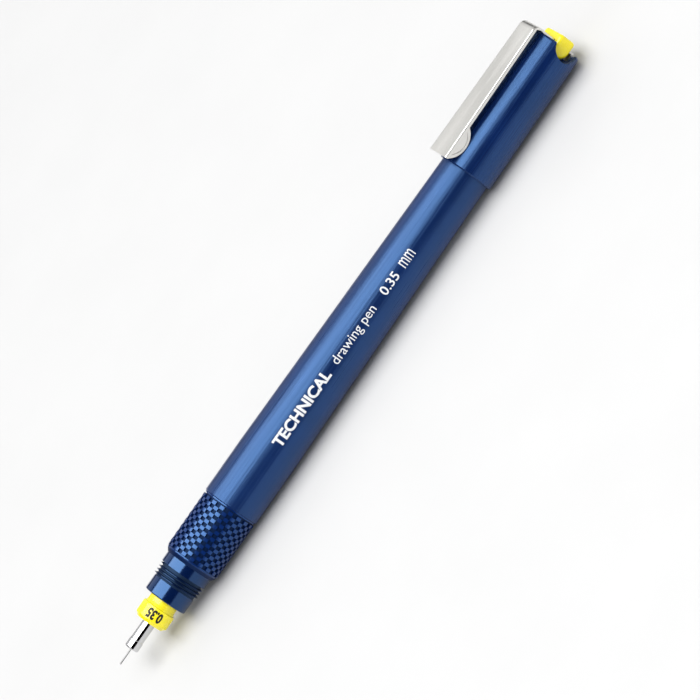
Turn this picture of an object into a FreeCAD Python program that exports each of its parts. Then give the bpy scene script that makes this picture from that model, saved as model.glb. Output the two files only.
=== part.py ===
"""Technical pen, 0.35 mm line, with its cap posted on the rear of the barrel.

Every piece is drawn along the X axis, with X = 0 at the writing tip and the pen's
axis at Y = Z = 0, and is then laid on the floor with its clip upward: the row's
origin is under the middle of the pen. Lengths are in millimetres.
"""
import FreeCAD, Part
import math
import os
import re

import Sketcher

V = FreeCAD.Vector
doc = FreeCAD.newDocument("technical_pen")

# ---------------------------------------------------------------- sizes
SIZES = {
    # whole pen
    "pen_length": 151.2,
    # capillary tube, its chrome shoulder and the wire that keeps it clear
    "tube_radius": 0.175,
    "tube_bore": 0.10,
    "tube_length": 8.9,
    "shoulder_start": 3.7,
    "shoulder_step": 5.6,
    "shoulder_end": 12.45,
    "shoulder_front_radius": 1.475,
    "shoulder_radius": 1.375,
    "shoulder_edge": 0.3,
    "shoulder_bore": 0.185,
    "shoulder_funnel_end": 9.5,
    "shoulder_rear_bore": 0.6,
    "wire_radius": 0.045,
    "wire_start": 0.1,
    "wire_end": 13.9,
    "weight_radius": 1.05,
    "weight_flat": 0.85,
    "weight_start": 13.1,
    "weight_end": 27.1,
    "weight_hole": 0.06,
    # colour-coded point body
    "flange_start": 9.95,
    "flange_end": 13.4,
    "flange_radius": 3.55,
    "flange_chamfer": 0.7,
    "flange_edge": 0.15,
    "flange_foot": 14.1,
    "neck_radius": 3.05,
    "groove_start": 16.0,
    "groove_end": 16.9,
    "groove_radius": 2.5,
    "neck_end": 17.35,
    "point_screw_radius": 2.6,
    "point_end": 24.0,
    "chamber_start": 12.75,
    "chamber_radius": 1.25,
    "wire_gate": 0.3,
    "insert_seat_start": 19.0,
    "insert_seat_radius": 1.9,
    "fit": 0.02,
    "running_fit": 0.05,
    # moulded insert with the winding air channel
    "helix_core": 1.9,
    "helix_radius": 2.5,
    "helix_pitch": 1.3,
    "helix_end": 36.2,
    "helix_rib": 0.55,
    "spigot_start": 36.9,
    "spigot_end": 41.5,
    "retainer_start": 30.15,
    "retainer_end": 34.0,
    "retainer_bore": 0.4,
    "sleeve_radius": 3.23,
    "sleeve_end": 36.8,
    # front holder
    "collar_start": 15.25,
    "collar_end": 18.55,
    "collar_radius": 4.6,
    "collar_edge": 0.22,
    "nose_root": 4.42,
    "nose_crest": 5.0,
    "nose_pitch": 0.75,
    "nose_end": 21.6,
    "seat_radius": 5.08,
    "seat_end": 23.7,
    "grip_core": 4.6,
    "holder_bore_start": 24.15,
    "holder_bore": 3.25,
    "holder_end": 45.0,
    "barrel_screw_radius": 4.95,
    # grip sleeve
    "grip_end": 37.83,
    "grip_front_radius": 5.2,
    "grip_bevel_end": 24.85,
    "grip_radius": 5.5,
    "pad_radius": 5.9,
    "pad_first": 24.95,
    "pad_length": 0.74,
    "pad_step": 1.545,
    "pad_turn": 9.4,
    "pad_rows": 36,
    # ink cartridge
    "cartridge_start": 37.0,
    "cartridge_neck": 3.0,
    "cartridge_mouth_end": 41.8,
    "cartridge_neck_bore": 2.4,
    "cartridge_neck_end": 45.6,
    "cartridge_shoulder_end": 47.4,
    "cartridge_radius": 4.0,
    "cartridge_end": 92.0,
    "cartridge_wall": 0.55,
    # barrel
    "barrel_start": 37.88,
    "barrel_radius": 6.02,
    "barrel_taper_start": 50.0,
    "barrel_taper_end": 129.9,
    "barrel_rear_radius": 5.09,
    "barrel_edge": 0.8,
    "ring_start": 39.0,
    "ring_end": 40.0,
    "ring_groove": 5.36,
    "barrel_socket_end": 47.0,
    "barrel_bore": 4.9,
    "barrel_bore_end": 127.6,
    "barrel_bore_rear": 4.1,
    # cap
    "cap_start": 118.1,
    "cap_end": 149.2,
    "cap_mouth_radius": 5.95,
    "cap_lip": 0.24,
    "cap_top_radius": 5.6,
    "cap_edge": 0.45,
    "cap_bore": 5.28,
    "cap_bore_end": 130.6,
    "cap_liner_bore": 5.03,
    "cap_floor_start": 145.45,
    "cap_floor_end": 146.45,
    "cap_well": 4.75,
    "cap_notch_centre": 149.5,
    "cap_notch_radius": 2.95,
    # liner and seal inside the cap
    "liner_start": 130.8,
    "liner_end": 145.4,
    "liner_bore": 3.9,
    "liner_step": 137.8,
    "liner_lip_end": 138.3,
    "liner_lip": 1.75,
    "liner_guide": 2.3,
    "liner_web": 144.7,
    "liner_web_bore": 1.5,
    "seal_start": 138.35,
    "seal_flange_end": 139.5,
    "seal_flange": 2.22,
    "seal_stem": 1.2,
    "seal_end": 143.3,
    "seal_seat": 1.1,
    "seal_seat_end": 138.8,
    "seal_bore": 0.3,
    "seal_bore_end": 142.9,
    "spring_start": 139.72,
    "spring_length": 4.8,
    "spring_turns_pitch": 0.96,
    "spring_radius": 1.75,
    "spring_wire": 0.15,
    # clip
    "clip_face": 7.95,
    "clip_sheet": 0.45,
    "clip_bend": 1.3,
    "clip_strap_start": 149.22,
    "clip_strap_end": 149.6,
    "clip_strap_half": 1.95,
    "clip_strap_reach": 3.6,
    "clip_hook": 1.6,
    "clip_split": 6.3,
    "clip_gap": 0.02,
    "clip_flange": 7.2,
    "clip_lobe_start": 118.4,
    "clip_lobe_deep": 121.9,
    "clip_lobe_end": 125.6,
    "clip_lobe_height": 5.2,
    "clip_half_tip": 3.35,
    "clip_edge": 0.28,
    "lobe_recess_face": 3.12,
    "lobe_recess_width": 2.0,
    "clip_half_top": 2.75,
    # colour saddle on the cap
    "saddle_top": 151.2,
    "saddle_bridge": 149.64,
    "saddle_half_long": 3.3,
    "saddle_leg_inside": 2.15,
    "saddle_half_wide": 2.0,
    "saddle_axis": 0,
    "saddle_leg_round": 148.7,
    "saddle_leg_end": 146.75,
    "saddle_edge": 0.65,
}

sheet = doc.addObject("Spreadsheet::Sheet", "Sizes")
for row, (alias, value) in enumerate(SIZES.items(), start=1):
    sheet.set(f"A{row}", alias)
    sheet.set(f"B{row}", str(value))
    sheet.setAlias(f"B{row}", alias)
doc.recompute()

WORD = re.compile(r"[a-z_]{2,}")


def linked(formula):
    """The formula with each size name pointed at the spreadsheet."""
    return WORD.sub(lambda m: "Sizes." + m.group(0), str(formula))


def value(formula):
    """The number a formula of size names comes to."""
    total = sheet.evalExpression(linked(formula)) if WORD.search(str(formula)) else formula
    return float(getattr(total, "Value", total))


# ---------------------------------------------------------------- drawing helpers
PLANES = {"XY": "XY_Plane", "XZ": "XZ_Plane", "YZ": "YZ_Plane"}


def new_body(label):
    body = doc.addObject("PartDesign::Body", label)
    body.Label = label
    return body


def new_sketch(body, name, plane="XY"):
    sketch = body.newObject("Sketcher::SketchObject", body.Label + "_" + name)
    origin = next(f for f in body.Origin.OriginFeatures if f.Role == PLANES[plane])
    sketch.AttachmentSupport = [(origin, "")]
    sketch.MapMode = "FlatFace"
    return sketch


def pin_coordinate(sketch, kind, geometry, vertex, formula):
    """Fix one coordinate of a sketch point to a formula of sizes."""
    number = value(formula)
    if abs(number) < 1e-9:
        axis = -1 if kind == "DistanceY" else -2
        sketch.addConstraint(Sketcher.Constraint("PointOnObject", geometry, vertex, axis))
        return
    index = sketch.addConstraint(Sketcher.Constraint(kind, -1, 1, geometry, vertex, number))
    if WORD.search(str(formula)):
        sketch.setExpression(f"Constraints[{index}]", linked(formula))


def arc_through(start, middle, end):
    """The arc through three points, and whether it runs clockwise from start to end."""
    circle = Part.Circle(V(*start, 0), V(*middle, 0), V(*end, 0))
    centre, clockwise = circle.Center, circle.Axis.z < 0
    first, last = (end, start) if clockwise else (start, end)
    from_angle = math.atan2(first[1] - centre.y, first[0] - centre.x)
    to_angle = math.atan2(last[1] - centre.y, last[0] - centre.x)
    if to_angle < from_angle:
        to_angle += 2 * math.pi
    full = Part.Circle(centre, V(0, 0, 1), circle.Radius)
    return Part.ArcOfCircle(full, from_angle, to_angle), clockwise


def outline(sketch, corners):
    """A closed outline through corners; a corner marked True is the middle of an arc."""
    spans = []
    plain = [c for c in corners if len(c) == 2]
    points = [(value(a), value(b)) for a, b in plain]
    arcs = {}
    seen = -1
    for corner in corners:
        if len(corner) == 2:
            seen += 1
        else:
            arcs[seen] = corner
    ends = []
    for i, start in enumerate(points):
        end = points[(i + 1) % len(points)]
        if i in arcs:
            middle = (value(arcs[i][0]), value(arcs[i][1]))
            span, clockwise = arc_through(start, middle, end)
        else:
            span, clockwise = Part.LineSegment(V(*start, 0), V(*end, 0)), False
        spans.append(span)
        number = sketch.addGeometry(span, False)
        ends.append((number, 2, 1) if clockwise else (number, 1, 2))
    for i in range(len(spans)):
        nxt = ends[(i + 1) % len(spans)]
        sketch.addConstraint(Sketcher.Constraint("Coincident", ends[i][0], ends[i][2], nxt[0], nxt[1]))
    for i, (a, b) in enumerate(plain):
        pin_coordinate(sketch, "DistanceX", ends[i][0], ends[i][1], a)
        pin_coordinate(sketch, "DistanceY", ends[i][0], ends[i][1], b)
        if i in arcs:
            sketch.addConstraint(Sketcher.Constraint("Radius", ends[i][0], spans[i].Radius))


def revolve(body, name, corners, kind="Revolution", degrees=360.0):
    """Turn an (along the pen, radius) outline about the pen's axis."""
    sketch = new_sketch(body, name + "_outline")
    outline(sketch, corners)
    feature = body.newObject("PartDesign::" + kind, body.Label + "_" + name)
    feature.Profile = sketch
    feature.ReferenceAxis = (sketch, ["H_Axis"])
    feature.Angle = degrees
    body.Tip = feature
    return feature


def winding(body, name, corners, pitch, length, kind="AdditiveHelix"):
    """Wind an outline along the pen's axis, right-handed."""
    sketch = new_sketch(body, name + "_section")
    outline(sketch, corners)
    feature = body.newObject("PartDesign::" + kind, body.Label + "_" + name)
    feature.Profile = sketch
    feature.ReferenceAxis = (sketch, ["H_Axis"])
    feature.Mode = 0
    feature.Pitch = value(pitch)
    feature.Height = value(length)
    feature.setExpression("Pitch", linked(pitch))
    feature.setExpression("Height", linked(length))
    body.Tip = feature
    return feature


def extrude(body, name, plane, outlines, length, kind="Pad", offset=0.0):
    """Extrude outlines to both sides of their plane, which may stand off the origin's."""
    sketch = new_sketch(body, name + "_outline", plane)
    sketch.AttachmentOffset = FreeCAD.Placement(V(0, 0, offset), FreeCAD.Rotation())
    for corners in outlines:
        outline(sketch, corners)
    feature = body.newObject("PartDesign::" + kind, body.Label + "_" + name)
    feature.Profile = sketch
    feature.Length = value(length)
    if WORD.search(str(length)):
        feature.setExpression("Length", linked(length))
    feature.Midplane = True
    body.Tip = feature
    return feature


def soften(body, radius, wanted, kind="Fillet"):
    """Round every edge of the body's last feature that the test accepts."""
    doc.recompute()
    names = [f"Edge{i}" for i, edge in enumerate(body.Tip.Shape.Edges, start=1) if wanted(edge)]
    if not names:
        raise RuntimeError("no edge to round on " + body.Label)
    feature = body.newObject("PartDesign::" + kind, body.Label + "_" + kind.lower())
    feature.Base = (body.Group[-2], names)
    prop = "Radius" if kind == "Fillet" else "Size"
    setattr(feature, prop, value(radius))
    feature.setExpression(prop, linked(radius))
    body.Tip = feature
    return feature


def ring_edge(along, radius):
    """Test for the circular edge at a station and radius of the pen."""
    def wanted(edge):
        curve = edge.Curve
        return (isinstance(curve, Part.Circle) and abs(curve.Center.x - value(along)) < 1e-3
                and abs(curve.Radius - value(radius)) < 1e-3)
    return wanted


def tube(x0, x1, inner, outer):
    """Corners of a plain ring between two stations."""
    return [(x0, inner), (x0, outer), (x1, outer), (x1, inner)]


# ---------------------------------------------------------------- writing point
capillary = new_body("capillary_tube")
revolve(capillary, "wall", tube(0, "tube_length", "tube_bore", "tube_radius"))

shoulder = new_body("point_shoulder")
revolve(shoulder, "turned", [
    ("shoulder_start", "shoulder_bore"),
    ("shoulder_start", "shoulder_front_radius"),
    ("shoulder_step", "shoulder_front_radius"),
    ("shoulder_step + 0.15", "shoulder_radius"),
    ("shoulder_end", "shoulder_radius"),
    ("shoulder_end", "shoulder_rear_bore"),
    ("shoulder_funnel_end", "shoulder_rear_bore"),
    ("tube_length", "shoulder_bore"),
])
soften(shoulder, "shoulder_edge", ring_edge("shoulder_start", "shoulder_front_radius"))

point = new_body("point_body")
revolve(point, "moulding", [
    ("flange_start", "shoulder_radius + fit"),
    ("flange_start", "flange_radius - flange_chamfer"),
    ("flange_start + flange_chamfer", "flange_radius"),
    ("flange_end", "flange_radius"),
    ("flange_end + 0.12", "neck_radius + 0.15"),
    ("flange_foot", "neck_radius"),
    ("groove_start", "neck_radius"),
    ("groove_start", "groove_radius"),
    ("groove_end", "groove_radius"),
    ("groove_end", "neck_radius"),
    ("neck_end - 0.3", "neck_radius"),
    ("neck_end - 0.3", "point_screw_radius"),
    ("point_end", "point_screw_radius"),
    ("point_end", "insert_seat_radius"),
    ("insert_seat_start", "insert_seat_radius"),
    ("insert_seat_start", "chamber_radius"),
    ("chamber_start", "chamber_radius"),
    ("chamber_start", "wire_gate"),
    ("shoulder_end + 0.05", "wire_gate"),
    ("shoulder_end + 0.05", "shoulder_radius + fit"),
])
soften(point, "flange_edge", ring_edge("flange_end", "flange_radius"))

seal_ring = new_body("point_seal_ring")
revolve(seal_ring, "section", tube("groove_start + 0.05", "groove_end - 0.05",
                                   "groove_radius + fit", "neck_radius + 0.03"))

wire = new_body("cleaning_wire")
revolve(wire, "rod", [("wire_start", 0), ("wire_start", "wire_radius"),
                      ("wire_end", "wire_radius"), ("wire_end", 0)])

weight = new_body("drop_weight")
revolve(weight, "turned", [
    ("weight_start", "weight_hole"),
    ("weight_start", "weight_radius - 0.2"),
    ("weight_start + 0.2", "weight_radius"),
    ("weight_end - 0.2", "weight_radius"),
    ("weight_end", "weight_radius - 0.2"),
    ("weight_end", 0),
    ("wire_end + 0.05", 0),
    ("wire_end + 0.05", "weight_hole"),
])
extrude(weight, "ink_flats", "XZ", [
    [("weight_start - 1", f"{side}weight_flat"), ("weight_start - 1", f"{side}weight_radius{side}1"),
     ("weight_end + 1", f"{side}weight_radius{side}1"), ("weight_end + 1", f"{side}weight_flat")]
    for side in ("+", "-")], "4 * weight_radius", kind="Pocket")

helix = new_body("compensating_helix")
revolve(helix, "core", [
    ("insert_seat_start + running_fit", "chamber_radius"),
    ("insert_seat_start + running_fit", "insert_seat_radius - fit"),
    ("point_end + running_fit", "insert_seat_radius - fit"),
    ("point_end + running_fit", "helix_radius"),
    ("point_end + running_fit + helix_rib", "helix_radius"),
    ("point_end + running_fit + helix_rib", "helix_core"),
    ("helix_end", "helix_core"),
    ("helix_end", "helix_radius"),
    ("spigot_start", "helix_radius"),
    ("spigot_start", "insert_seat_radius"),
    ("spigot_end - 0.4", "insert_seat_radius"),
    ("spigot_end", "insert_seat_radius - 0.3"),
    ("spigot_end", "chamber_radius"),
])
winding(helix, "air_channel_rib", [
    ("point_end + 0.3", "helix_core - 0.1"),
    ("point_end + 0.3", "helix_radius"),
    ("point_end + 0.3 + helix_rib", "helix_radius"),
    ("point_end + 0.3 + helix_rib", "helix_core - 0.1"),
], "helix_pitch", "helix_end - point_end - 0.5")

retainer = new_body("weight_retainer")
revolve(retainer, "plug", tube("retainer_start", "retainer_end", "retainer_bore",
                               "chamber_radius - fit"))

# ---------------------------------------------------------------- front section
holder = new_body("front_holder")
revolve(holder, "moulding", [
    ("collar_start", "neck_radius + running_fit"),
    ("collar_start", "collar_radius"),
    ("collar_end", "collar_radius"),
    ("collar_end", "nose_root"),
    ("nose_end", "nose_root"),
    ("nose_end", "seat_radius"),
    ("seat_end", "seat_radius"),
    ("seat_end", "grip_core"),
    ("barrel_start", "grip_core"),
    ("barrel_start", "barrel_screw_radius"),
    ("holder_end - 0.4", "barrel_screw_radius"),
    ("holder_end", "barrel_screw_radius - 0.4"),
    ("holder_end", "holder_bore"),
    ("holder_bore_start", "holder_bore"),
    ("holder_bore_start", "point_screw_radius + running_fit"),
    ("neck_end", "point_screw_radius + running_fit"),
    ("neck_end", "neck_radius + running_fit"),
])
soften(holder, "collar_edge", ring_edge("collar_start", "collar_radius"))
winding(holder, "nose_thread", [
    ("collar_end + 0.02", "nose_root - 0.1"),
    ("collar_end + 0.27", "nose_crest"),
    ("collar_end + 0.35", "nose_crest"),
    ("collar_end + 0.60", "nose_root - 0.1"),
], "nose_pitch", "nose_end - collar_end - 0.66")

regulator = new_body("regulating_sleeve")
revolve(regulator, "sleeve", tube("holder_bore_start + running_fit", "sleeve_end",
                                  "helix_radius + running_fit", "sleeve_radius"))

grip = new_body("grip_sleeve")
revolve(grip, "sleeve", [
    ("seat_end + fit", "grip_core + fit"),
    ("seat_end + fit", "grip_front_radius"),
    ("grip_bevel_end - 0.25", "pad_radius - 0.12"),
    ("grip_bevel_end", "pad_radius - 0.12"),
    ("grip_bevel_end", "grip_radius"),
    ("grip_end - 0.25", "grip_radius"),
    ("grip_end - 0.25", "pad_radius - 0.05"),
    ("grip_end", "pad_radius - 0.05"),
    ("grip_end", "grip_core + fit"),
])


def pad_row(name, first, count, turned_by):
    """One row of raised pads along the sleeve, repeated round every second row."""
    sketch = new_sketch(grip, name + "_outline")
    sketch.AttachmentOffset = FreeCAD.Placement(V(0, 0, 0), FreeCAD.Rotation(V(1, 0, 0), turned_by))
    for i in range(count):
        x0 = f"{first} + {i} * pad_step"
        outline(sketch, tube(x0, f"{x0} + pad_length", "grip_radius - 0.1", "pad_radius"))
    row = grip.newObject("PartDesign::Revolution", name)
    row.Profile = sketch
    row.ReferenceAxis = (sketch, ["H_Axis"])
    row.Angle = SIZES["pad_turn"]
    row.setExpression("Angle", linked("pad_turn"))
    ring = grip.newObject("PartDesign::PolarPattern", name + "_round")
    ring.Originals = [row]
    axis = next(f for f in grip.Origin.OriginFeatures if f.Role == "X_Axis")
    ring.Axis = (axis, [""])
    ring.Angle = 360
    ring.Occurrences = int(SIZES["pad_rows"]) // 2
    ring.setExpression("Occurrences", linked("pad_rows") + " / 2")
    grip.Tip = ring


pad_row("pads_a", "pad_first", 8, 0.0)
pad_row("pads_b", "pad_first + pad_step / 2", 8, 360.0 / SIZES["pad_rows"])

# ---------------------------------------------------------------- ink cartridge
cartridge = new_body("ink_cartridge")
revolve(cartridge, "bottle", [
    ("cartridge_start", "insert_seat_radius + running_fit"),
    ("cartridge_start", "cartridge_neck"),
    ("cartridge_neck_end", "cartridge_neck"),
    ("cartridge_shoulder_end", "cartridge_radius"),
    ("cartridge_end - 1.2", "cartridge_radius"),
    ("cartridge_end", "cartridge_radius - 1.2"),
    ("cartridge_end", 0),
    ("cartridge_end - 0.7", 0),
    ("cartridge_end - 0.7", "cartridge_radius - 1.4"),
    ("cartridge_end - 1.4", "cartridge_radius - cartridge_wall"),
    ("cartridge_shoulder_end + 0.3", "cartridge_radius - cartridge_wall"),
    ("cartridge_neck_end + 0.3", "cartridge_neck_bore"),
    ("cartridge_mouth_end", "cartridge_neck_bore"),
    ("cartridge_mouth_end", "insert_seat_radius + running_fit"),
])

# ---------------------------------------------------------------- barrel
barrel = new_body("barrel")
revolve(barrel, "moulding", [
    ("barrel_start", "barrel_screw_radius + running_fit"),
    ("barrel_start", "barrel_radius - 0.12"),
    ("barrel_start + 0.12", "barrel_radius"),
    ("barrel_taper_start", "barrel_radius"),
    ("barrel_taper_end", "barrel_rear_radius"),
    ("barrel_taper_end", 0),
    ("barrel_bore_end", 0),
    ("barrel_bore_end", "barrel_bore_rear"),
    ("barrel_socket_end + 1", "barrel_bore"),
    ("barrel_socket_end", "barrel_screw_radius + running_fit"),
    ("ring_end", "barrel_screw_radius + running_fit"),
    ("ring_end", "ring_groove"),
    ("ring_start", "ring_groove"),
    ("ring_start", "barrel_screw_radius + running_fit"),
])
soften(barrel, "barrel_edge", ring_edge("barrel_taper_end", "barrel_rear_radius"))

barrel_ring = new_body("barrel_seal_ring")
revolve(barrel_ring, "section", tube("ring_start + 0.05", "ring_end - 0.05",
                                     "barrel_screw_radius + fit", "ring_groove - fit"))

# ---------------------------------------------------------------- cap
cap = new_body("cap_shell")
revolve(cap, "moulding", [
    ("cap_start", "cap_bore + 0.12"),
    ("cap_start", "cap_mouth_radius - cap_lip"),
    ("cap_start + cap_lip", "cap_mouth_radius"),
    ("cap_end", "cap_top_radius"),
    ("cap_end", "cap_well"),
    ("cap_floor_end", "cap_well"),
    ("cap_floor_end", 0),
    ("cap_floor_start", 0),
    ("cap_floor_start", "cap_liner_bore"),
    ("cap_bore_end", "cap_liner_bore"),
    ("cap_bore_end", "cap_bore"),
    ("cap_start + 0.15", "cap_bore"),
])
soften(cap, "cap_edge", ring_edge("cap_end", "cap_top_radius"))
notch = new_sketch(cap, "notch_outline", "XZ")
centre = notch.addGeometry(Part.Circle(V(SIZES["cap_notch_centre"], 0, 0), V(0, 0, 1),
                                       SIZES["cap_notch_radius"]), False)
pin_coordinate(notch, "DistanceX", centre, 3, "cap_notch_centre")
pin_coordinate(notch, "DistanceY", centre, 3, 0)
across = notch.addConstraint(Sketcher.Constraint("Radius", centre, SIZES["cap_notch_radius"]))
notch.setExpression(f"Constraints[{across}]", linked("cap_notch_radius"))
notches = cap.newObject("PartDesign::Pocket", "cap_shell_notches")
notches.Profile = notch
notches.Midplane = True
notches.setExpression("Length", linked("3 * cap_mouth_radius"))
cap.Tip = notches

liner = new_body("cap_liner")
revolve(liner, "sleeve", [
    ("liner_start", "liner_bore + 0.4"),
    ("liner_start", "cap_liner_bore - fit"),
    ("liner_end", "cap_liner_bore - fit"),
    ("liner_end", "liner_web_bore"),
    ("liner_web", "liner_web_bore"),
    ("liner_web", "liner_guide"),
    ("liner_lip_end", "liner_guide"),
    ("liner_lip_end", "liner_lip"),
    ("liner_step", "liner_lip"),
    ("liner_step", "liner_bore"),
    ("liner_start + 0.4", "liner_bore"),
])

seal_cup = new_body("cap_seal_cup")
revolve(seal_cup, "moulding", [
    ("seal_start", "seal_seat"),
    ("seal_start", "seal_flange"),
    ("seal_flange_end", "seal_flange"),
    ("seal_flange_end", "seal_stem"),
    ("seal_end", "seal_stem"),
    ("seal_end", 0),
    ("seal_bore_end", 0),
    ("seal_bore_end", "seal_bore"),
    ("seal_seat_end", "seal_bore"),
])

spring = new_body("cap_seal_spring")
coil = new_sketch(spring, "wire_section")
loop = coil.addGeometry(Part.Circle(V(SIZES["spring_start"], SIZES["spring_radius"], 0), V(0, 0, 1),
                                    SIZES["spring_wire"]), False)
pin_coordinate(coil, "DistanceX", loop, 3, "spring_start")
pin_coordinate(coil, "DistanceY", loop, 3, "spring_radius")
gauge = coil.addConstraint(Sketcher.Constraint("Radius", loop, SIZES["spring_wire"]))
coil.setExpression(f"Constraints[{gauge}]", linked("spring_wire"))
turns = spring.newObject("PartDesign::AdditiveHelix", "cap_seal_spring_turns")
turns.Profile = coil
turns.ReferenceAxis = (coil, ["H_Axis"])
turns.Mode = 0
turns.setExpression("Pitch", linked("spring_turns_pitch"))
turns.setExpression("Height", linked("spring_length"))
spring.Tip = turns

# ---------------------------------------------------------------- clip


def clip_profile(body, name, corners, half_width):
    extrude(body, name, "XZ", [corners], f"2 * {half_width}")


blade = new_body("clip_blade")
clip_profile(blade, "side_view", [
    ("cap_start", "clip_face"),
    ("clip_strap_end - clip_bend", "clip_face"),
    ("clip_strap_end - clip_bend * 0.2929", "clip_face - clip_bend * 0.2929", True),
    ("clip_strap_end", "clip_face - clip_bend"),
    ("clip_strap_end", "clip_split"),
    ("clip_strap_start", "clip_split"),
    ("clip_strap_start - 0.35", "clip_flange"),
    ("clip_lobe_end", "clip_flange"),
    ("clip_lobe_deep", "clip_lobe_height", True),
    ("clip_lobe_start", "clip_flange - 0.1"),
    ("cap_start", "clip_flange + 0.2"),
], "clip_half_tip")
extrude(blade, "taper", "XY", [
    [("cap_start - 1", f"{side}clip_half_tip"),
     ("clip_strap_end + 1", f"{side}clip_half_top"),
     ("clip_strap_end + 1", f"{side}clip_half_tip{side}1"),
     ("cap_start - 1", f"{side}clip_half_tip{side}1")]
    for side in ("+", "-")], "4 * clip_face", kind="Pocket")
extrude(blade, "channel", "XY", [[
    ("cap_start - 1", "clip_half_tip - clip_sheet"),
    ("clip_strap_start", "clip_half_top - clip_sheet"),
    ("clip_strap_start", "clip_sheet - clip_half_top"),
    ("cap_start - 1", "clip_sheet - clip_half_tip"),
]], "2 * (clip_face - clip_sheet)", kind="Pocket")

for hand, side in (("left", 1), ("right", -1)):
    extrude(blade, f"lobe_recess_{hand}", "XZ", [[
        ("clip_lobe_start + 0.9", "clip_flange + 0.12"),
        ("clip_lobe_end - 1.0", "clip_flange + 0.12"),
        ("clip_lobe_end - 1.0", "clip_flange - 0.2"),
        ("clip_lobe_deep", "clip_lobe_height + 0.42", True),
        ("clip_lobe_start + 0.9", "clip_flange - 0.2"),
    ]], "lobe_recess_width", kind="Pocket",
        offset=side * (SIZES["lobe_recess_face"] + SIZES["lobe_recess_width"] / 2))
soften(blade, "clip_edge", lambda e: e.Length > 25 and e.BoundBox.ZMin > SIZES["clip_face"] - 1e-3
       and abs(e.BoundBox.YMin) > SIZES["clip_half_top"] - 0.1)

strap = new_body("clip_strap")
clip_profile(strap, "side_view", [
    ("clip_strap_start", "clip_split - clip_gap"),
    ("clip_strap_end", "clip_split - clip_gap"),
    ("clip_strap_end", "-clip_strap_reach"),
    ("clip_strap_start - clip_hook", "-clip_strap_reach"),
    ("clip_strap_start - clip_hook", "clip_sheet - clip_strap_reach"),
    ("clip_strap_start", "clip_sheet - clip_strap_reach"),
], "clip_half_top")
extrude(strap, "narrow_part", "YZ", [
    [(f"{side}clip_strap_half", "cap_mouth_radius - 0.4"),
     (f"{side}clip_half_top{side}1", "cap_mouth_radius - 0.4"),
     (f"{side}clip_half_top{side}1", "-clip_strap_reach - 1"),
     (f"{side}clip_strap_half", "-clip_strap_reach - 1")]
    for side in ("+", "-")], "4 * cap_end", kind="Pocket")

# ---------------------------------------------------------------- colour saddle
saddle = new_body("cap_saddle")
extrude(saddle, "side_view", "XZ", [[
    ("saddle_top", "saddle_half_wide"),
    ("saddle_top", "-saddle_half_wide"),
    ("saddle_leg_round", "-saddle_half_wide"),
    ("saddle_leg_end", "saddle_axis", True),
    ("saddle_leg_round", "saddle_half_wide"),
]], "2 * saddle_half_long")
extrude(saddle, "straddle", "XY", [[
    ("saddle_leg_end - 1", "-saddle_leg_inside"),
    ("saddle_leg_end - 1", "saddle_leg_inside"),
    ("saddle_bridge", "saddle_leg_inside"),
    ("saddle_bridge", "-saddle_leg_inside"),
]], "4 * saddle_half_wide", kind="Pocket")
soften(saddle, "saddle_edge", lambda e: e.BoundBox.XMin > SIZES["saddle_leg_end"] - 1
       and (abs(e.BoundBox.XMin - SIZES["saddle_top"]) < 1e-3
            or (abs(e.BoundBox.YMin) > SIZES["saddle_half_long"] - 1e-3
                and abs(e.BoundBox.YMax - e.BoundBox.YMin) < 1e-3)))

# ---------------------------------------------------------------- place and write out
doc.recompute()
LAID_DOWN = FreeCAD.Placement(V(-SIZES["pen_length"] / 2, 0, SIZES["barrel_radius"]),
                              FreeCAD.Rotation())
bodies = [o for o in doc.Objects if o.TypeId == "PartDesign::Body"]
for body in bodies:
    body.Placement = LAID_DOWN
doc.recompute()

for item in doc.Objects:
    if "Invalid" in item.State or "Error" in item.State:
        raise RuntimeError("failed: " + item.Label)
os.makedirs("parts", exist_ok=True)
for body in bodies:
    shape = body.Shape
    if shape.isNull() or not shape.isValid() or len(shape.Solids) != 1:
        raise RuntimeError(f"bad solid: {body.Label} {len(shape.Solids)}")
    shape.exportStep(f"parts/{body.Label}.step")
    print(body.Label, round(shape.Volume, 3), len(shape.Faces))
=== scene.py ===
import math

import bmesh
import bpy
from mathutils import Matrix, Vector


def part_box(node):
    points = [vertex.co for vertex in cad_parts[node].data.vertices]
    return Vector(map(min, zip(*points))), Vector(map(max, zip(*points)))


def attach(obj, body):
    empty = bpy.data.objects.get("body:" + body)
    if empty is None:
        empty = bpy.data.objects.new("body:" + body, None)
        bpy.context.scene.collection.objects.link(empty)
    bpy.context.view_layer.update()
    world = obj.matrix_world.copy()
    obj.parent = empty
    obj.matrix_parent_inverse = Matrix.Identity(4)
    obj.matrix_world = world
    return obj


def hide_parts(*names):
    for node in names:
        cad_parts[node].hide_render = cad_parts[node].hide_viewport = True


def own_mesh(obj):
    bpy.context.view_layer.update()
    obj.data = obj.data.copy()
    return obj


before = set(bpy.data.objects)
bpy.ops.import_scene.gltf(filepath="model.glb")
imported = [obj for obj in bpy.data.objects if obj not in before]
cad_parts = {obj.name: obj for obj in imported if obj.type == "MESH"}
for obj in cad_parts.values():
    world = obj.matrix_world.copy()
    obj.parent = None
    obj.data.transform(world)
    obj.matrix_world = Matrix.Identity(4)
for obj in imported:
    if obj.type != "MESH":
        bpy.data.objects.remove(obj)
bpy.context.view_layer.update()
MM = 0.001

# Places along the pen in millimetres from its tip, and distances from its axis.
THREAD_START = 18.55
THREAD_ROOT, THREAD_CREST = 4.52, 4.84
GRIP_FLOOR, GRIP_PAD = 5.6, 5.84
TAPER_START, TAPER_END = 50, 129.9
BARREL_RADIUS, BARREL_REAR_RADIUS = 6.02, 5.09
FLANGE_BASELINE, FLANGE_RADIUS = 12.85, 3.55

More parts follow.
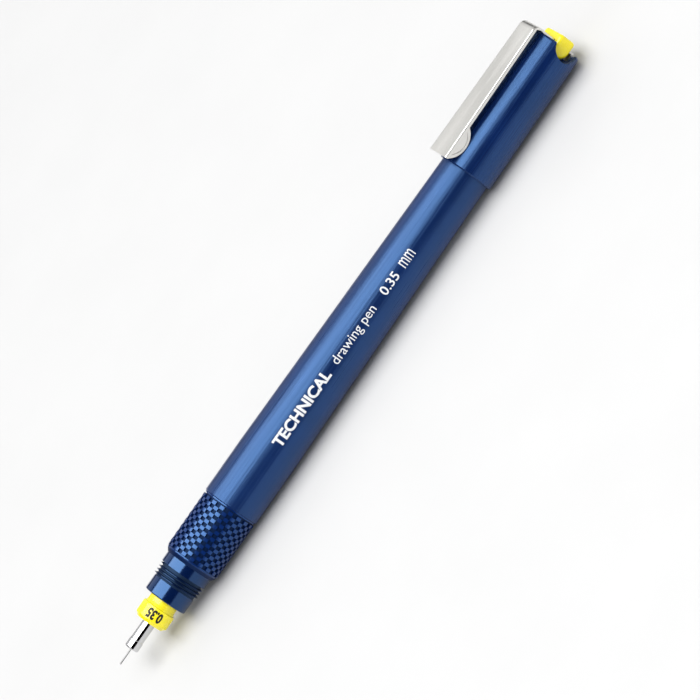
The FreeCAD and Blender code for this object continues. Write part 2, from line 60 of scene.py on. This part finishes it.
# ---------------------------------------------------------------- where the pen lies
barrel_low, barrel_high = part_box("barrel")
TIP_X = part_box("capillary_tube")[0][0]
AXIS_Z = (barrel_low[2] + barrel_high[2]) / 2

# The camera stands on the -Y side, this far above the floor's plane.
ELEVATION = math.radians(33.0)
TOWARD_CAMERA = Vector((0, -math.cos(ELEVATION), math.sin(ELEVATION)))
TOWARD_CLIP = Vector((0, math.sin(ELEVATION), math.cos(ELEVATION)))


def on_pen(along_mm, degrees, radius_mm):
    """A point on the pen: millimetres from its tip, degrees from the camera toward the clip."""
    a = math.radians(degrees)
    out = TOWARD_CAMERA * math.cos(a) + TOWARD_CLIP * math.sin(a)
    return Vector((TIP_X + along_mm * MM, 0, AXIS_Z)) + out * radius_mm * MM


# ---------------------------------------------------------------- materials
class Shader:
    """A principled material with small helpers for its nodes."""

    def __init__(self, name, **sockets):
        self.material = bpy.data.materials.new(name)
        self.material.use_nodes = True
        self.nodes = self.material.node_tree.nodes
        self.links = self.material.node_tree.links
        self.surface = next(n for n in self.nodes if n.type == "BSDF_PRINCIPLED")
        for socket, number in sockets.items():
            self.surface.inputs[socket.replace("_", " ")].default_value = number
        self.place = self.nodes.new("ShaderNodeTexCoord")

    def noise(self, scale, detail=3.0, rough=0.55):
        """Noise with its own scale along X, Y and Z, in cycles per metre."""
        stretch = self.nodes.new("ShaderNodeMapping")
        stretch.inputs["Scale"].default_value = scale
        self.links.new(self.place.outputs["Object"], stretch.inputs["Vector"])
        node = self.nodes.new("ShaderNodeTexNoise")
        node.inputs["Scale"].default_value = 1.0
        node.inputs["Detail"].default_value = detail
        node.inputs["Roughness"].default_value = rough
        self.links.new(stretch.outputs["Vector"], node.inputs["Vector"])
        return node.outputs["Fac"]

    def spread(self, source, low, high, start=0.3, end=0.7):
        """The source's start to end, stretched to low to high."""
        node = self.nodes.new("ShaderNodeMapRange")
        node.inputs["From Min"].default_value = start
        node.inputs["From Max"].default_value = end
        node.inputs["To Min"].default_value = low
        node.inputs["To Max"].default_value = high
        self.links.new(source, node.inputs["Value"])
        return node.outputs["Result"]

    def colours(self, source, stops):
        node = self.nodes.new("ShaderNodeValToRGB")
        ramp = node.color_ramp
        while len(ramp.elements) < len(stops):
            ramp.elements.new(0.5)
        for element, (position, colour) in zip(ramp.elements, stops):
            element.position = position
            element.color = (*colour, 1)
        self.links.new(source, node.inputs["Fac"])
        self.links.new(node.outputs["Color"], self.surface.inputs["Base Color"])

    def roughness(self, source, low, high, start=0.3, end=0.7):
        rough = self.spread(source, low, high, start, end)
        self.links.new(rough, self.surface.inputs["Roughness"])

    def from_axis(self, low_mm, high_mm):
        """0 up to one distance from the pen's axis, rising to 1 at another."""
        parts = self.nodes.new("ShaderNodeSeparateXYZ")
        self.links.new(self.place.outputs["Object"], parts.inputs["Vector"])
        lift = self.nodes.new("ShaderNodeMath")
        lift.operation = "SUBTRACT"
        lift.inputs[1].default_value = AXIS_Z
        self.links.new(parts.outputs["Z"], lift.inputs[0])
        joined = self.nodes.new("ShaderNodeCombineXYZ")
        self.links.new(parts.outputs["Y"], joined.inputs["Y"])
        self.links.new(lift.outputs["Value"], joined.inputs["Z"])
        length = self.nodes.new("ShaderNodeVectorMath")
        length.operation = "LENGTH"
        self.links.new(joined.outputs["Vector"], length.inputs[0])
        return self.spread(length.outputs["Value"], 0.0, 1.0, low_mm * MM, high_mm * MM)

    def before(self, along_mm):
        """1 on the tip's side of a place along the pen and 0 beyond it."""
        parts = self.nodes.new("ShaderNodeSeparateXYZ")
        self.links.new(self.place.outputs["Object"], parts.inputs["Vector"])
        edge = TIP_X + along_mm * MM
        return self.spread(parts.outputs["X"], 1.0, 0.0, edge, edge + 0.01 * MM)

    def larger(self, one, other):
        node = self.nodes.new("ShaderNodeMath")
        node.operation = "MAXIMUM"
        self.links.new(one, node.inputs[0])
        self.links.new(other, node.inputs[1])
        return node.outputs["Value"]

    def bump(self, source, depth_mm, strength=1.0, below=None):
        node = self.nodes.new("ShaderNodeBump")
        node.inputs["Strength"].default_value = strength
        node.inputs["Distance"].default_value = depth_mm * MM
        self.links.new(source, node.inputs["Height"])
        if below:
            self.links.new(below, node.inputs["Normal"])
        self.links.new(node.outputs["Normal"], self.surface.inputs["Normal"])
        return node.outputs["Normal"]


# Every blue piece has the same blue-tinted gloss.
BLUE_GLOSS = {"IOR": 1.95, "Specular_Tint": (0.24, 0.50, 1.0, 1.0)}


def blue_plastic(name, streak_mm, gloss, depth):
    """Moulded blue plastic, given a lengthwise polish so that it shows fine streaks."""
    m = Shader(name, **BLUE_GLOSS)
    across = 1 / (streak_mm * MM)
    streaks = m.noise((14, across, across), detail=4, rough=0.6)
    cloud = m.noise((90, 160, 160), detail=2)
    m.colours(cloud, [(0.35, (0.0014, 0.0105, 0.068)), (0.65, (0.0021, 0.0145, 0.089))])
    m.roughness(streaks, gloss, gloss + 0.14)
    grain = m.noise((4200, 4200, 4200), detail=2)
    under = m.bump(grain, 0.0016, 0.5)
    m.bump(streaks, depth, 0.6, under)
    return m.material


def holder_plastic():
    """Polished blue plastic, dull in the roots of the nose thread, with painted shade darkening those
    roots.
    """
    m = Shader("holder_blue", **BLUE_GLOSS)
    polished_unshaded = m.larger(m.from_axis(THREAD_ROOT, THREAD_CREST), m.before(THREAD_START))
    # Painted shade: the base colour is much darker in the thread roots, where shade falls in the
    # grooves.
    m.colours(polished_unshaded, [(0.0, (0.0002, 0.0012, 0.008)), (1.0, (0.0011, 0.0078, 0.048))])
    m.roughness(polished_unshaded, 0.62, 0.15, 0.0, 1.0)
    m.bump(m.noise((4200, 4200, 4200), detail=2), 0.0016, 0.5)
    return m.material


def grip_plastic():
    """Blue plastic that is dull on the floors between the raised pads, with painted shade making those
    floors darker.
    """
    m = Shader("grip_blue", **BLUE_GLOSS)
    raised = m.from_axis(GRIP_FLOOR, GRIP_PAD)
    # Painted shade: the floors between the pads get a darker base colour than the pads.
    m.colours(raised, [(0.1, (0.0010, 0.0080, 0.048)), (0.9, (0.0026, 0.0180, 0.112))])
    m.roughness(raised, 0.52, 0.2)
    m.links.new(m.spread(raised, 0.16, 0.5, 0.0, 1.0), m.surface.inputs["Specular IOR Level"])
    m.bump(m.noise((1600, 3300, 3300), detail=3), 0.003, 0.5)
    return m.material


def yellow_plastic():
    m = Shader("yellow_plastic", IOR=1.5, Coat_Weight=0.3, Coat_Roughness=0.1,
               Subsurface_Weight=0.12, Subsurface_Radius=(0.6 * MM, 0.5 * MM, 0.1 * MM),
               Subsurface_Scale=1.0)
    cloud = m.noise((260, 260, 260), detail=3)
    m.colours(cloud, [(0.3, (0.95, 0.79, 0.007)), (0.7, (0.98, 0.86, 0.014))])
    m.roughness(m.noise((900, 900, 900)), 0.22, 0.34)
    m.bump(m.noise((2400, 2400, 2400), detail=2), 0.003, 0.5)
    return m.material


def metal(name, stops, rough, grain_scale, depth, aniso=0.0):
    m = Shader(name, Metallic=1.0, Anisotropic=aniso)
    grain = m.noise(grain_scale, detail=4, rough=0.6)
    m.colours(m.noise((120, 300, 300), detail=2), [(0.3, stops[0]), (0.7, stops[1])])
    m.roughness(grain, *rough)
    m.bump(grain, depth, 0.6)
    return m.material


def moulding(name, stops, rough, **sockets):
    m = Shader(name, IOR=1.49, **sockets)
    m.colours(m.noise((300, 300, 300), detail=3), [(0.3, stops[0]), (0.7, stops[1])])
    m.roughness(m.noise((1500, 1500, 1500)), *rough)
    m.bump(m.noise((5000, 5000, 5000), detail=2), 0.002, 0.6)
    return m.material


barrel_blue = blue_plastic("barrel_blue", 0.4, 0.26, 0.07)
cap_blue = blue_plastic("cap_blue", 0.45, 0.20, 0.09)
holder_blue = holder_plastic()
grip_blue = grip_plastic()
yellow = yellow_plastic()
chrome = metal("chrome", [(0.60, 0.60, 0.61), (0.68, 0.68, 0.69)], (0.06, 0.12),
               (5000, 60, 60), 0.0002)
tube_steel = metal("tube_steel", [(0.30, 0.30, 0.30), (0.38, 0.38, 0.38)], (0.3, 0.42),
                   (200, 9000, 9000), 0.0006)
turned_steel = metal("turned_steel", [(0.52, 0.52, 0.53), (0.6, 0.6, 0.61)], (0.2, 0.34),
                     (6000, 80, 80), 0.001)
clip_steel = metal("clip_steel", [(0.74, 0.73, 0.70), (0.80, 0.79, 0.76)], (0.30, 0.42),
                   (60, 4200, 4200), 0.0012, aniso=0.3)
black = moulding("black_moulding", [(0.012, 0.012, 0.013), (0.02, 0.02, 0.021)], (0.4, 0.55))
white = moulding("white_moulding", [(0.76, 0.76, 0.73), (0.82, 0.82, 0.79)], (0.35, 0.5))
rubber = moulding("seal_rubber", [(0.014, 0.014, 0.014), (0.024, 0.024, 0.024)], (0.6, 0.8))
cup_rubber = moulding("cup_rubber", [(0.09, 0.09, 0.095), (0.13, 0.13, 0.135)], (0.55, 0.75))
bottle = moulding("cartridge_plastic", [(0.80, 0.83, 0.83), (0.86, 0.88, 0.88)], (0.12, 0.22),
                  Transmission_Weight=0.7)

FINISH = {
    "capillary_tube": tube_steel, "point_shoulder": chrome, "point_body": yellow,
    "point_seal_ring": rubber, "cleaning_wire": tube_steel, "drop_weight": turned_steel,
    "compensating_helix": black, "weight_retainer": white, "front_holder": holder_blue,
    "regulating_sleeve": black, "grip_sleeve": grip_blue, "ink_cartridge": bottle,
    "barrel": barrel_blue, "barrel_seal_ring": rubber, "cap_shell": cap_blue, "cap_liner": white,
    "cap_seal_cup": cup_rubber, "cap_seal_spring": tube_steel, "clip_blade": clip_steel,
    "clip_strap": clip_steel, "cap_saddle": yellow,
}
for node, material in FINISH.items():
    for part_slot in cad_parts[node].material_slots:
        part_slot.material = material


# ---------------------------------------------------------------- the spring that closes with its seal
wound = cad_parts["cap_seal_spring"]
coil = bpy.data.objects.new("seal_spring_coil", wound.data.copy())
bpy.context.collection.objects.link(coil)
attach(coil, "cap_core")
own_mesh(coil)
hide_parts("cap_seal_spring")


# ---------------------------------------------------------------- imprints
def ink(name, colour, rough):
    m = Shader(name, IOR=1.45)
    dark = tuple(c * 0.86 for c in colour)
    m.colours(m.noise((2600, 2600, 2600), detail=3), [(0.32, dark), (0.6, colour)])
    m.roughness(m.noise((1800, 1800, 1800)), rough, rough + 0.2)
    m.bump(m.noise((6000, 6000, 6000), detail=2), 0.002, 0.6)
    return m.material


def word_mesh(text, width_mm, height_mm, bold):
    """Flat letters as a mesh in millimetres, width_mm long, with its baseline on Y = 0."""
    curve = bpy.data.curves.new("letters", "FONT")
    curve.body = text
    curve.offset = bold
    curve.resolution_u = 5
    letters = bpy.data.objects.new("letters", curve)
    bpy.context.collection.objects.link(letters)
    mesh = bpy.data.meshes.new_from_object(letters)
    bpy.data.objects.remove(letters)
    xs = [v.co.x for v in mesh.vertices]
    ys = [v.co.y for v in mesh.vertices if v.co.y > 0.3]
    grow_x = width_mm / (max(xs) - min(xs))
    grow_y = height_mm / max(ys)
    left = min(xs)
    for v in mesh.vertices:
        v.co = Vector(((v.co.x - left) * grow_x, v.co.y * grow_y, 0))
    return mesh


# Letters are cut into strips this wide so that they can bend round the pen.
STRIP_MM = 0.2
FIRST_CUT_MM = -0.8
CUT_MARGIN_MM = 1.5


def wrap_word(name, text, width_mm, height_mm, place, body, finish, across, bold=0.0):
    """Letters laid on the pen; place(x, y) gives the surface point and across the cut direction."""
    mesh = word_mesh(text, width_mm, height_mm, bold)
    bm = bmesh.new()
    bm.from_mesh(mesh)
    span = (width_mm if across == 0 else height_mm) + CUT_MARGIN_MM
    normal = (1, 0, 0) if across == 0 else (0, 1, 0)
    for i in range(int(span / STRIP_MM)):
        at = FIRST_CUT_MM + i * STRIP_MM
        bmesh.ops.bisect_plane(bm, geom=bm.verts[:] + bm.edges[:] + bm.faces[:],
                               plane_co=(at, at, 0), plane_no=normal)
    for v in bm.verts:
        v.co = place(v.co.x, v.co.y)
    bmesh.ops.recalc_face_normals(bm, faces=bm.faces[:])
    bm.to_mesh(mesh)
    bm.free()
    piece = bpy.data.objects.new(name, mesh)
    bpy.context.collection.objects.link(piece)
    piece.data.materials.clear()
    piece.data.materials.append(finish)
    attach(piece, body)
    return piece


silver_ink = ink("imprint_ink", (0.80, 0.82, 0.84), 0.3)
black_ink = ink("flange_ink", (0.012, 0.012, 0.012), 0.35)


# The letters stand this many millimetres off the plastic, and the barrel's line of print
# is turned this many degrees below the middle of the camera's side.
INK_LIFT = 0.03
PRINT_TURN = 3.0


def barrel_radius(x_mm):
    if x_mm < TAPER_START:
        return BARREL_RADIUS
    drop = BARREL_REAR_RADIUS - BARREL_RADIUS
    return BARREL_RADIUS + drop * (x_mm - TAPER_START) / (TAPER_END - TAPER_START)


def on_barrel(start_mm, cap_height):
    def place(x, y):
        along = start_mm + x
        r = barrel_radius(along) + INK_LIFT
        return on_pen(along, math.degrees((y - cap_height / 2) / r) - PRINT_TURN, r)
    return place


# Name, letters, start along the pen, length, height and extra weight, in millimetres.
WORDS = [("imprint_name", "TECHNICAL", 53.0, 17.6, 2.2, 0.035),
         ("imprint_use", "drawing pen", 72.8, 13.4, 1.9, 0.0),
         ("imprint_width", "0.35", 89.3, 4.8, 1.9, 0.012),
         ("imprint_unit", "mm", 95.9, 3.6, 1.9, 0.0)]
for name, text, start, width, height, bold in WORDS:
    wrap_word(name, text, width, height, on_barrel(start, height), "barrel", silver_ink,
              across=1, bold=bold)


FLANGE_WORD_WIDTH, FLANGE_WORD_HEIGHT = 3.4, 2.0
FLANGE_WORD_CENTRE = 1.75


def on_flange(x, y):
    r = FLANGE_RADIUS + INK_LIFT
    return on_pen(FLANGE_BASELINE - y, math.degrees((x - FLANGE_WORD_CENTRE) / r), r)


wrap_word("flange_width", "0.35", FLANGE_WORD_WIDTH, FLANGE_WORD_HEIGHT, on_flange, "point",
          black_ink, across=0, bold=0.045)

# ---------------------------------------------------------------- floor, light, camera
FLOOR_HALF = 3.0
floor_mesh = bpy.data.meshes.new("floor")
floor_mesh.from_pydata([(-FLOOR_HALF, -FLOOR_HALF, 0), (FLOOR_HALF, -FLOOR_HALF, 0),
                        (FLOOR_HALF, FLOOR_HALF, 0), (-FLOOR_HALF, FLOOR_HALF, 0)],
                       [], [(0, 1, 2, 3)])
floor = bpy.data.objects.new("floor", floor_mesh)
bpy.context.collection.objects.link(floor)
paper = Shader("floor_paper", Roughness=0.9)
paper.colours(paper.noise((30, 30, 30), detail=3),
              [(0.3, (0.61, 0.61, 0.61)), (0.7, (0.625, 0.625, 0.625))])
floor.data.materials.append(paper.material)


def across_pen(elevation_deg, distance):
    """A place in the plane across the pen, at an elevation from the -Y horizon."""
    a = math.radians(elevation_deg)
    return Vector((0, -math.cos(a), math.sin(a))) * distance


def softbox(name, where, length, width, watts):
    """An area light that faces the pen, its sides in metres."""
    lamp = bpy.data.lights.new(name, "AREA")
    lamp.shape = "RECTANGLE"
    lamp.size, lamp.size_y = length, width
    lamp.energy = watts
    light = bpy.data.objects.new(name, lamp)
    light.location = where
    light.rotation_euler = (-where).to_track_quat("-Z", "Y").to_euler()
    bpy.context.collection.objects.link(light)
    return light


softbox("softbox", across_pen(84.0, 1.0), 0.5, 1.35, 12.0)
softbox("back_card", across_pen(146.0, 1.2), 1.6, 0.85, 3.6)
# Cards off the pen's ends light the rims that face along it.
softbox("tip_card", Vector((-1.0, -0.35, 0.55)), 0.9, 0.9, 2.4)
softbox("cap_card", Vector((1.0, -0.35, 0.55)), 0.9, 0.9, 2.0)
# A broad front fill, kept out of the reflections, lightens the shadow beside the pen.
fill = softbox("fill", across_pen(50.0, 1.3), 1.2, 1.6, 4.0)
fill.visible_glossy = False

world = bpy.data.worlds.new("studio")
bpy.context.scene.world = world
world.use_nodes = True
sky = world.node_tree.nodes["Background"]
sky.inputs["Color"].default_value = (1, 1, 1, 1)
sky.inputs["Strength"].default_value = 0.32
# The sky is left out of the reflections, which gives the chrome its black band.
world.cycles_visibility.glossy = False

# The picture is this wide at the pen, in metres, seen from this far; the pen runs up to
# the right at this angle and its middle is this far from the middle of the picture.
DISTANCE = 0.93
VIEW_WIDTH = 0.1378
SENSOR_WIDTH = 36.0
PEN_ROLL = 54.94
CENTRE_ALONG, CENTRE_ACROSS = 76.6, 1.5
camera_data = bpy.data.cameras.new("camera")
camera_data.sensor_width = SENSOR_WIDTH
camera_data.lens = SENSOR_WIDTH * DISTANCE / VIEW_WIDTH
camera_data.clip_start, camera_data.clip_end = 0.01, 20
camera = bpy.data.objects.new("camera", camera_data)
bpy.context.collection.objects.link(camera)
roll = math.radians(PEN_ROLL)
pen_right = Vector((1, 0, 0))
right = pen_right * math.cos(roll) - TOWARD_CLIP * math.sin(roll)
up = pen_right * math.sin(roll) + TOWARD_CLIP * math.cos(roll)
centre = Vector((TIP_X + CENTRE_ALONG * MM, 0, AXIS_Z)) - TOWARD_CLIP * CENTRE_ACROSS * MM
camera.matrix_world = Matrix.Translation(centre + TOWARD_CAMERA * DISTANCE) @ Matrix(
    (right, up, TOWARD_CAMERA)).transposed().to_4x4()
bpy.context.scene.camera = camera
bpy.context.scene.view_settings.view_transform = "Standard"
